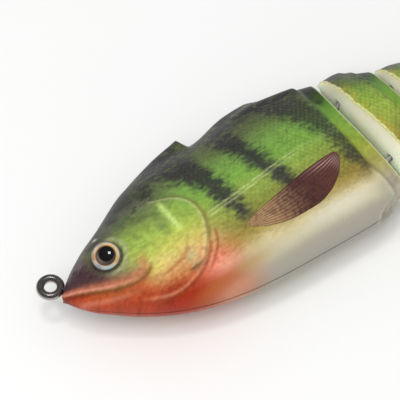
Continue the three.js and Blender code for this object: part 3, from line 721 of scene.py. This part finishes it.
def half_section(section):
    """One side of a section as a closed surface.

    Every column is one angle phi. Down a column the path starts at the seam plane, crosses the front face to
    its rim, turns a small rounded edge, follows the skin and its collar, and comes back across the rear face.
    """
    start = 0.0 if section == 0 else FRONT[section - 1]
    end = REAR[section] if section < LAST else TAIL_END
    has_front, has_rear = float(section > 0), float(section < LAST)
    columns = int((50 - 8 * section) / STEP)
    phi = np.linspace(0, np.pi, columns)
    fine = 0.5 * np.linspace(0, 1, 7) ** 1.6
    middle = np.linspace(start + 0.5, end - 0.5, int((end - start) / STEP))[1:-1]
    straight = np.concatenate([start + fine, middle, end - fine[::-1]])[:, None] + 0 * phi
    t = (straight - start) / (end - start)
    down = -np.cos(phi)
    into = straight - (end - COLLAR) - 1.1 * smooth(0.4, 0.8, down) + 5.0 * smooth(0.9, 1.0, down)
    into = np.where(has_rear > 0, into, -9.0)
    rounding = 0.0
    for amount, distance in ((has_front, straight - start), (has_rear, end - straight)):
        rounding = rounding + amount * 0.35 * (1 - np.sqrt(1 - (1 - np.clip(distance / 0.45, 0, 1)) ** 2))
    rounding = rounding + has_front * 0.65 * (1 - smooth(0, 4.5, straight - start))
    step_in = 1.2 * smooth(-0.1, 1.0, into) + 0.13 * np.clip(into, 0, None)
    inset = step_in * (1 - 0.55 * smooth(0.6, 1, -down)) + rounding
    x = straight
    for _ in range(4):
        y, z = raw_skin(x, phi, inset)
        low = np.clip(-y, 0, None)
        ahead = FRONT_SLANT * np.clip(1.5 - y, 0, None) + 0.004 * y * y
        behind = 0.09 * low - REAR_LEAN * z
        x = straight + has_front * (1 - t) * ahead + has_rear * (t**6 if section == 0 else t) * behind
    y, z = raw_skin(x, phi, inset)
    skin = np.stack([x, y, z], axis=-1)
    along = np.gradient(skin, axis=0)
    across = np.gradient(skin, axis=1)
    normal = np.cross(across, along)
    normal /= np.linalg.norm(normal, axis=-1, keepdims=True).clip(1e-9)
    normal[..., 2] = np.where(z < 1e-3, 0, normal[..., 2])
    seam_line = 0.12 * (bump(phi, 0, 0.02) + bump(phi, np.pi, 0.012))
    lift = relief(x, y) * smooth(0.3, 1.2, z) * (1 - smooth(-0.5, 0.5, into)) - seam_line
    lift = lift * smooth(0, 0.02, t)
    skin = skin + normal * lift[..., None]
    skin[..., 2] = skin[..., 2].clip(SEAM_Z)
    front_rim, rear_rim = skin[0], skin[-1]

    def face(rim, seam_x):
        """Rows from the edge on the seam plane out to the rim."""
        s = np.linspace(0, 1, CAP_ROWS)[:, None]
        base = np.stack([seam_x, rim[:, 1], np.full(len(rim), SEAM_Z)], axis=-1)
        return base + (rim - base) * s[..., None]

    share = (front_rim[:, 1].max() - front_rim[:, 1]) / np.ptp(front_rim[:, 1])
    seam_x = start + 0.09 * np.clip(-front_rim[:, 1].min(), 0, None) * share
    front = face(front_rim, np.where(has_front * front_rim[:, 2] > 0.3, seam_x, front_rim[:, 0]))[:-1]
    rear = face(rear_rim, rear_rim[:, 0] + REAR_LEAN * (rear_rim[:, 2] - SEAM_Z))[::-1][1:]
    slot = 0.0
    for wire_y in WIRE_Y[section - 1] if section > 0 else ():
        near = 1 - smooth(SLOT_HALF - 0.15, SLOT_HALF + 0.15, np.abs(front[..., 1] - wire_y))
        slot = slot + near * (1 - smooth(SLOT_REACH - 0.2, SLOT_REACH + 0.2, front[..., 2]))
    front[..., 0] += SLOT_DEPTH * slot
    points = np.concatenate([front, skin, rear])
    zones = np.concatenate([np.zeros(len(front)), np.ones(len(skin)), np.full(len(rear), 2)])
    skin_colour = paint(np.clip(x, 0, None), y)
    skin_colour = tint(skin_colour, "#4a2c20", 0.5 * bump(phi, np.pi, 0.03))
    if has_rear:
        skin_colour = collar_colour(skin_colour, x, y, into, end - straight)
    if has_front:
        skin_colour = ridge_colour(skin_colour, x, y, straight - start)
    front_colour = face_colour(front[..., 0], front[..., 1], front_rim[:, 2] - front[..., 2])
    rear_colour = face_colour(rear[..., 0], rear[..., 1], rear_rim[:, 2] - rear[..., 2])
    colours = np.concatenate([front_colour, skin_colour, rear_colour])
    plain = smooth(-0.4, 0.4, into)
    scales = np.concatenate([0 * front[..., 0], scale_strength(x, y) * (1 - plain), 0 * rear[..., 0]])
    return points, zones, colours, scales


def add_section(section):
    """Left and right skins of a section: the right one is the left mirrored in the seam plane."""
    points, zones, colours, scales = half_section(section)
    rows, columns = points.shape[:2]
    faces = grid_faces(rows, columns)
    face_zone = np.minimum(zones[:-1], zones[1:]) * (zones[:-1] != 2) + 2 * (zones[1:] == 2)
    slots = np.repeat(np.where(face_zone == 1, 0, 1), columns - 1)
    flat = points.reshape(-1, 3)
    first, owner, kept, sources = weld(flat, faces)
    grid = owner.reshape(rows, columns)
    border = np.concatenate([grid[0], grid[:, -1], grid[-1][::-1], grid[::-1, 0]])
    loop = [v for k, v in enumerate(border) if v != border[k - 1]]
    for side, sign in (("left", 1), ("right", -1)):
        mesh_points = flat[first] * np.array([1, 1, sign])
        turn = 1 if sign > 0 else -1
        side_faces = [f[::-turn] for f in kept] + [loop[::turn]]
        side_slots = np.append(slots[sources], 1)
        name = f"{SECTION_NAMES[section]}_skin_{side}"
        values = {"paint": colours.reshape(-1, 3)[first], "scales": scales.ravel()[first]}
        shell = f"{SECTION_NAMES[section]}_shell_{side}"
        add_mesh(name, mesh_points, side_faces, section, [shell], "painted_shell", [perch, cream], values,
                 side_slots)


for number in range(LAST + 1):
    add_section(number)

# ---------------------------------------------------------------- eyes


def eye_frame():
    """Centre of the eye's base and three axes: two in its plane, one outwards."""
    out = np.array(EYE_FACING) / np.linalg.norm(EYE_FACING)
    right = np.cross([0, 1, 0], out)
    right /= np.linalg.norm(right)
    up = np.cross(out, right)
    x, y = LURE_EYE
    base = np.array([x, y, float(skin_height(np.array(x), np.array(y)))]) - 0.45 * out
    return base, right, up, out


# Foil ring of the eye: direction, colour, spread and strength of each glint.
EYE_GLINTS = [(2.6, "#a8641e", 0.5, 0.85), (3.5, "#4f7fa0", 0.35, 0.8), (4.4, "#86c4cc", 0.4, 0.8),
              (5.3, "#c08a3c", 0.4, 0.75), (0.4, "#d8b47a", 0.5, 0.6), (1.4, "#7a6e86", 0.35, 0.6)]


def add_eye(side, sign):
    """Domed eye: a profile of radius and height turned about the eye's axis, coloured by radius."""
    base, right, up, out = eye_frame()
    dome = np.linspace(0.06, np.pi / 2, 60)
    radius = np.concatenate([[0], np.linspace(EYE_R * 0.98, EYE_R, 3), EYE_R * np.cos(dome)])
    height = np.concatenate([[-0.6, -0.6, -0.4, 0.25], 0.3 + 1.25 * np.sin(dome)])
    angle = np.linspace(0, 2 * np.pi, 96, endpoint=False)
    r, a = radius[:, None], angle[None, :]
    spoke = np.cos(a)[..., None] * right + np.sin(a)[..., None] * up
    points = base + r[..., None] * spoke + height[:, None, None] * out
    u, v = r * np.cos(a), r * np.sin(a)
    off = np.hypot(u - 0.05, v)
    pupil = np.hypot(u - 0.35, v - 0.2)
    colour = np.broadcast_to(linear("#d2cbbd"), (*np.shape(off), 3)).copy()
    for at, hue, width, strength in EYE_GLINTS:
        turn = (a - at + np.pi) % (2 * np.pi) - np.pi
        colour = tint(colour, hue, strength * bump(turn, 0, width) * bump(r, 2.62, 0.4))
    colour = tint(colour, "#2e2018", 0.95 * (1 - smooth(2.2, 2.36, off)))
    # Painted reflection: a soft grey-brown patch on the left of the iris.
    colour = tint(colour, "#7d7066", 0.75 * blob(u, v, -1.3, 0.1, 0.6, 1.1) * (1 - smooth(2.0, 2.2, off)))
    colour = tint(colour, "#d9a24e", 0.95 * bump(off, 2.3, 0.15) * (0.7 + 0.3 * np.sin(a + 1.2)))
    colour = tint(colour, "#060405", 1 - smooth(1.55, 1.8, pupil))
    colour = tint(colour, "#4a4442", 0.8 * smooth(2.84, 2.98, r + 0 * a))
    faces = grid_faces(len(radius), len(angle), wrap=True)
    first, owner, kept, _ = weld(points.reshape(-1, 3), faces)
    mesh_points = points.reshape(-1, 3)[first] * np.array([1, 1, sign])
    values = {"paint": colour.reshape(-1, 3)[first]}
    kept = kept if sign > 0 else [f[::-1] for f in kept]
    add_mesh(f"domed_eye_{side}", mesh_points, kept, 0, [f"eye_{side}"], "lure_eye", [eye_resin], values)


add_eye("left", 1)
add_eye("right", -1)

# ---------------------------------------------------------------- wires and pins


def add_line_tie():
    """Line tie: shank out of the snout, then one full turn of wire, each a round wire of its own."""
    centre = np.array([*TIE_CENTRE, 0])
    inward = np.array([math.cos(TIE_SLOPE), math.sin(TIE_SLOPE), 0])
    across = np.array([-inward[1], inward[0], 0])
    shank = centre + inward * np.linspace(9, TIE_LOOP_R + 0.6, 16)[:, None]
    a = np.linspace(0, 2 * np.pi, 73)[:, None]
    ring = centre + TIE_LOOP_R * (np.cos(a) * inward + np.sin(a) * across)
    tube(shank, TIE_WIRE_R * 0.85, (0, 0, 1), name="line_tie_shank", section=0, replaces=[], slot="line_tie",
         materials=[tie_metal])
    angle = np.linspace(0, 2 * np.pi, 28, endpoint=False)
    centre_line = ring[:-1]
    outward = (centre_line - centre) / TIE_LOOP_R
    cosine, sine = np.cos(angle)[None, :, None], np.sin(angle)[None, :, None]
    round_wire = cosine * outward[:, None, :] + sine * np.array([0, 0, 1.0])
    points = centre_line[:, None, :] + TIE_WIRE_R * round_wire
    count = len(centre_line)
    faces = grid_faces(count + 1, 28, wrap=True) % (count * 28)
    points = points.reshape(-1, 3)
    add_mesh("line_tie_loop", points, faces.tolist(), 0, ["line_tie_ring"], "line_tie", [tie_metal])


def add_joint(number):
    """Two wire loops held in the leading section, and the pin they turn on in the following one."""
    loop_r, wire_r, pin_r = 1.25, 0.45, 0.6
    x = HINGE_X[number]
    for which, y in zip(("upper", "lower"), WIRE_Y[number]):
        reach_x = np.linspace(REAR[number] - 3.5, x - loop_r * 1.25, 10)
        straight = np.stack([reach_x, np.full(10, y), np.zeros(10)], axis=-1)
        a = np.linspace(np.pi * 0.9, -np.pi * 0.9, 48)
        around = np.stack([x + loop_r * np.cos(a), np.full(48, y), loop_r * np.sin(a)], axis=-1)
        path = smooth_path(np.concatenate([straight, around[::4]]), 90)
        tube(path, wire_r, (0, 1, 0), name=f"hinge_loop_{number + 1}_{which}", section=number,
             replaces=[f"joint{number + 1}_{which}_eye"], slot="joint_wire", materials=[pin_steel])
    top, bottom = WIRE_Y[number][0] + PIN_REACH, WIRE_Y[number][1] - PIN_REACH
    path = np.stack([np.full(24, x), np.linspace(bottom, top, 24), np.zeros(24)], axis=-1)
    tube(path, pin_r, (0, 0, 1), name=f"hinge_pin_{number + 1}", section=number + 1,
         replaces=[f"joint{number + 1}_pin"], slot="joint_wire", materials=[pin_steel])


add_line_tie()
for number in range(LAST):
    add_joint(number)

# ---------------------------------------------------------------- pectoral fins

FIN_X = [40.2, 44, 48, 53, 58, 62, 64.6, 66, 66.6]
FIN_UPPER = [-11.2, -10.0, -9.1, -8.1, -7.2, -6.8, -6.7, -7.0, -7.7]
FIN_LOWER = [-12.4, -14.2, -15.3, -15.6, -15.2, -13.4, -11.2, -9.2, -8.2]


def add_pectoral(side, sign):
    """Raised pectoral fin on the flank: between two edge curves, domed, with rays that fan from its root."""
    rows, columns = 240, 70
    x = np.linspace(FIN_X[0], FIN_X[-1], rows)[:, None]
    v = np.linspace(0, 1, columns)[None, :]
    low, high = curve(FIN_X, FIN_LOWER, x), curve(FIN_X, FIN_UPPER, x)
    y = low + (high - low) * v
    x = x + 0 * v
    z = skin_height(x, y)
    u = (x - FIN_X[0]) / (FIN_X[-1] - FIN_X[0])
    step = 0.05
    slope_x = (skin_height(x + step, y) - skin_height(x - step, y)) / (2 * step)
    slope_y = (skin_height(x, y + step) - skin_height(x, y - step)) / (2 * step)
    normal = np.stack([-slope_x, -slope_y, np.ones_like(x)], axis=-1)
    normal /= np.linalg.norm(normal, axis=-1, keepdims=True)
    edge = smooth(0, 0.12, v) * smooth(0, 0.12, 1 - v) * smooth(0, 0.03, u) * smooth(0, 0.03, 1 - u)
    ray = 0.5 + 0.5 * np.cos(2 * np.pi * (v * 10 + 0.2 * u))
    rise = -0.08 + 0.30 * edge + 0.05 * ray * edge * (1 - 0.85 * smooth(0.3, 0.7, u))
    top = np.stack([x, y, z], axis=-1) + normal * rise[..., None]
    under = np.stack([x, y, z], axis=-1) - normal * 0.2
    points = np.concatenate([top, under[:, ::-1]], axis=1)
    colour = np.broadcast_to(linear("#5a3129"), (*x.shape, 3)).copy()
    root = 1 - smooth(0.22, 0.62, u + 0.05 * cloud(x, y, 2, 31))
    colour = tint(colour, "#a07a56", 0.75 * root)
    line = smooth(0.45, 0.95, ray) * np.clip(0.75 + 0.5 * cloud(x, y, 1.2, 33), 0, 1)
    colour = tint(colour, "#cba878", 0.75 * line * root)
    colour = tint(colour, "#7c4a42", 0.3 * line * (1 - root))
    colour = tint(colour, "#3c2020", 0.5 * bump(u, 0.52, 0.2) + 0.35 * smooth(0, 0.7, cloud(x, y, 0.5, 34)))
    # Painted highlight near the fin's tip, on its rays.
    tip = blob(x, y, 62.5, -8.3, 4.0, 0.9) + 0.6 * blob(x, y, 64.8, -9.8, 1.2, 1.4)
    colour = tint(colour, "#b48e8a", 0.85 * tip * smooth(0.3, 0.9, ray))
    colour = tint(colour, "#3a2222", 0.6 * (1 - smooth(0.02, 0.09, v) * smooth(0.02, 0.09, 1 - v)))
    colours = np.concatenate([colour, colour[:, ::-1]], axis=1)
    loop = points.shape[1]
    faces = grid_faces(rows, loop, wrap=True)
    first, owner, kept, _ = weld(points.reshape(-1, 3), faces)
    grid = owner.reshape(rows, loop)
    kept += [grid[0][::-1].tolist(), grid[-1].tolist()]
    kept = [f[::-1] for f in kept] if sign > 0 else kept
    mesh_points = points.reshape(-1, 3)[first] * np.array([1, 1, sign])
    values = {"paint": colours.reshape(-1, 3)[first]}
    add_mesh(f"pectoral_fin_{side}", mesh_points, kept, 0, [], "painted_shell", [fin_paint], values)


add_pectoral("left", 1)
add_pectoral("right", -1)

# ---------------------------------------------------------------- tail

TAIL_X = [128, 134.3, 140, 148, 156, 161, 163]
TAIL_UPPER = [1.2, 1.3, 3.4, 7.0, 10.6, 12.0, 12.0]
TAIL_LOWER = [-4.2, -4.3, -7.0, -11.0, -14.4, -15.6, -15.6]


def add_tail_fin():
    """Soft tail: a fan of rays from the root to a shallow forked edge, thinning towards its rim."""
    rows, columns = 160, 200
    v = np.linspace(0, 1, columns)[None, :]
    u = np.linspace(0, 1, rows)[:, None]
    fork = 4.6 * bump(v, 0.5, 0.3)
    x = TAIL_X[0] + (TAIL_X[-1] - TAIL_X[0] - fork * smooth(0.2, 1, u)) * u
    low, high = curve(TAIL_X, TAIL_LOWER, x), curve(TAIL_X, TAIL_UPPER, x)
    y = low + (high - low) * v
    ray = 0.5 + 0.5 * np.cos(2 * np.pi * v * 15)
    rim = (smooth(0, 0.05, v) * smooth(0, 0.05, 1 - v) * smooth(0, 0.02, 1 - u)) ** 0.5
    half = 0.12 + (0.66 - 0.42 * u) * rim * (0.72 + 0.28 * ray * smooth(0.15, 0.35, u))
    top = np.stack([x, y, half], axis=-1)
    under = np.stack([x, y, -half], axis=-1)
    points = np.concatenate([top, under[:, ::-1]], axis=1)
    colour = np.broadcast_to(linear("#a85a34"), (*x.shape, 3)).copy()
    colour = tint(colour, "#6b6a3c", 1 - smooth(0.1, 0.5, u + 0 * v))
    colour = tint(colour, "#c8482a", 0.7 * smooth(0.5, 0.9, 1 - v) * smooth(0.2, 0.6, u))
    colour = tint(colour, "#5a3a2c", 0.5 * (1 - smooth(0.2, 0.7, ray)))
    colours = np.concatenate([colour, colour[:, ::-1]], axis=1)
    loop = points.shape[1]
    faces = grid_faces(rows, loop, wrap=True).tolist()
    faces += [list(range(loop))[::-1], list(range((rows - 1) * loop, rows * loop))]
    faces = [f[::-1] for f in faces]
    values = {"paint": colours.reshape(-1, 3)}
    points = points.reshape(-1, 3)
    add_mesh("soft_tail_fin", points, faces, LAST, ["tail_fin"], "soft_tail", [tail_rubber], values)


def add_tail_pin():
    """Cross pin through the tail root, its ends slightly rounded."""
    z = np.array([-3.5, -3.5, -3.4, -3.2, 3.2, 3.4, 3.5, 3.5])
    radii = np.array([0.02, 0.35, 0.52, 0.6, 0.6, 0.52, 0.35, 0.02])
    z = z + np.array([-0.01, 0, 0, 0, 0, 0, 0, 0.01])
    path = np.stack([np.full(8, 129.8), np.full(8, -1.5), z], axis=-1)
    tube(path, radii, (1, 0, 0), name="tail_cross_pin", section=LAST, replaces=["tail_fin_pin"],
         slot="joint_wire", materials=[pin_steel])


add_tail_fin()
add_tail_pin()
frame["nodes"]["belly_ballast"].data.materials.clear()
frame["nodes"]["belly_ballast"].data.materials.append(weight_metal)

# ---------------------------------------------------------------- stage, light and camera


def pale_floor():
    """Matt white table with the faintest mottling."""
    material, tree, shader = node_material("pale_table", colour=(0.9, 0.9, 0.9), roughness=0.6)
    mottle = add_node(tree, "ShaderNodeTexNoise", Scale=30.0, Detail=3.0)
    tree.links.new(scaled_object_coords(tree, (1, 1, 1)), mottle.inputs["Vector"])
    base = mix_colour(tree, "MULTIPLY", 0.02, (0.9, 0.9, 0.895, 1), mottle.outputs["Color"])
    tree.links.new(base, shader.inputs["Base Color"])
    return material


floor_mesh = bpy.data.meshes.new("table")
reach = 3.0
corners = [(-reach, -reach, 0), (reach, -reach, 0), (reach, reach, 0), (-reach, reach, 0)]
floor_mesh.from_pydata(corners, [], [(0, 1, 2, 3)])
floor_mesh.materials.append(pale_floor())
floor = bpy.data.objects.new("table", floor_mesh)
bpy.context.scene.collection.objects.link(floor)

world = bpy.data.worlds.new("studio")
world.use_nodes = True
sky = world.node_tree.nodes["Background"]
sky.inputs["Color"].default_value = (1, 1, 1, 1)
rays = add_node(world.node_tree, "ShaderNodeLightPath")
level = add_node(world.node_tree, "ShaderNodeMapRange", To_Min=0.54, To_Max=0.14)
world.node_tree.links.new(rays.outputs["Is Glossy Ray"], level.inputs["Value"])
world.node_tree.links.new(level.outputs["Result"], sky.inputs["Strength"])
bpy.context.scene.world = world
bpy.context.scene.view_settings.view_transform = "Standard"


def soft_light(name, at, size, power):
    """Square soft box at a place in metres, turned to face the lure."""
    data = bpy.data.lights.new(name, "AREA")
    data.shape = "RECTANGLE"
    data.size, data.size_y = size
    data.energy = power
    light = bpy.data.objects.new(name, data)
    light.location = at
    light.rotation_euler = (Vector((-0.03, 0, 0.01)) - Vector(at)).to_track_quat("-Z", "Y").to_euler()
    bpy.context.scene.collection.objects.link(light)
    return light


soft_light("overhead_box", (-0.40, -0.14, 0.84), (0.66, 0.66), 5.3).visible_glossy = False
soft_light("lamp", (-0.10, 0.04, 0.80), (0.11, 0.11), 0.7)

VIEW_AZIMUTH, VIEW_ELEVATION, VIEW_ROLL = (math.radians(v) for v in (-34.66, 58, 0.98))
VIEW_DISTANCE = 480.0
VIEW_TARGET = (38.3, 3.6, 0.0)
VIEW_FOCAL_WIDTHS = 5.504

flat = math.cos(VIEW_ELEVATION)
back = Vector((math.sin(VIEW_AZIMUTH) * flat, -math.cos(VIEW_AZIMUTH) * flat, math.sin(VIEW_ELEVATION)))
level = Vector((math.cos(VIEW_AZIMUTH), math.sin(VIEW_AZIMUTH), 0))
upright = back.cross(level)
right = level * math.cos(VIEW_ROLL) + upright * math.sin(VIEW_ROLL)
up = upright * math.cos(VIEW_ROLL) - level * math.sin(VIEW_ROLL)
target = Vector(to_frame(np.array(VIEW_TARGET), 0)[0])
camera_data = bpy.data.cameras.new("camera")
camera_data.sensor_width = 36
camera_data.lens = 36 * VIEW_FOCAL_WIDTHS
camera_data.clip_start = 0.05
camera = bpy.data.objects.new("camera", camera_data)
turn = Matrix((right, up, back)).transposed().to_4x4()
camera.matrix_world = Matrix.Translation(target + back * VIEW_DISTANCE * MM) @ turn
bpy.context.scene.collection.objects.link(camera)
bpy.context.scene.camera = camera
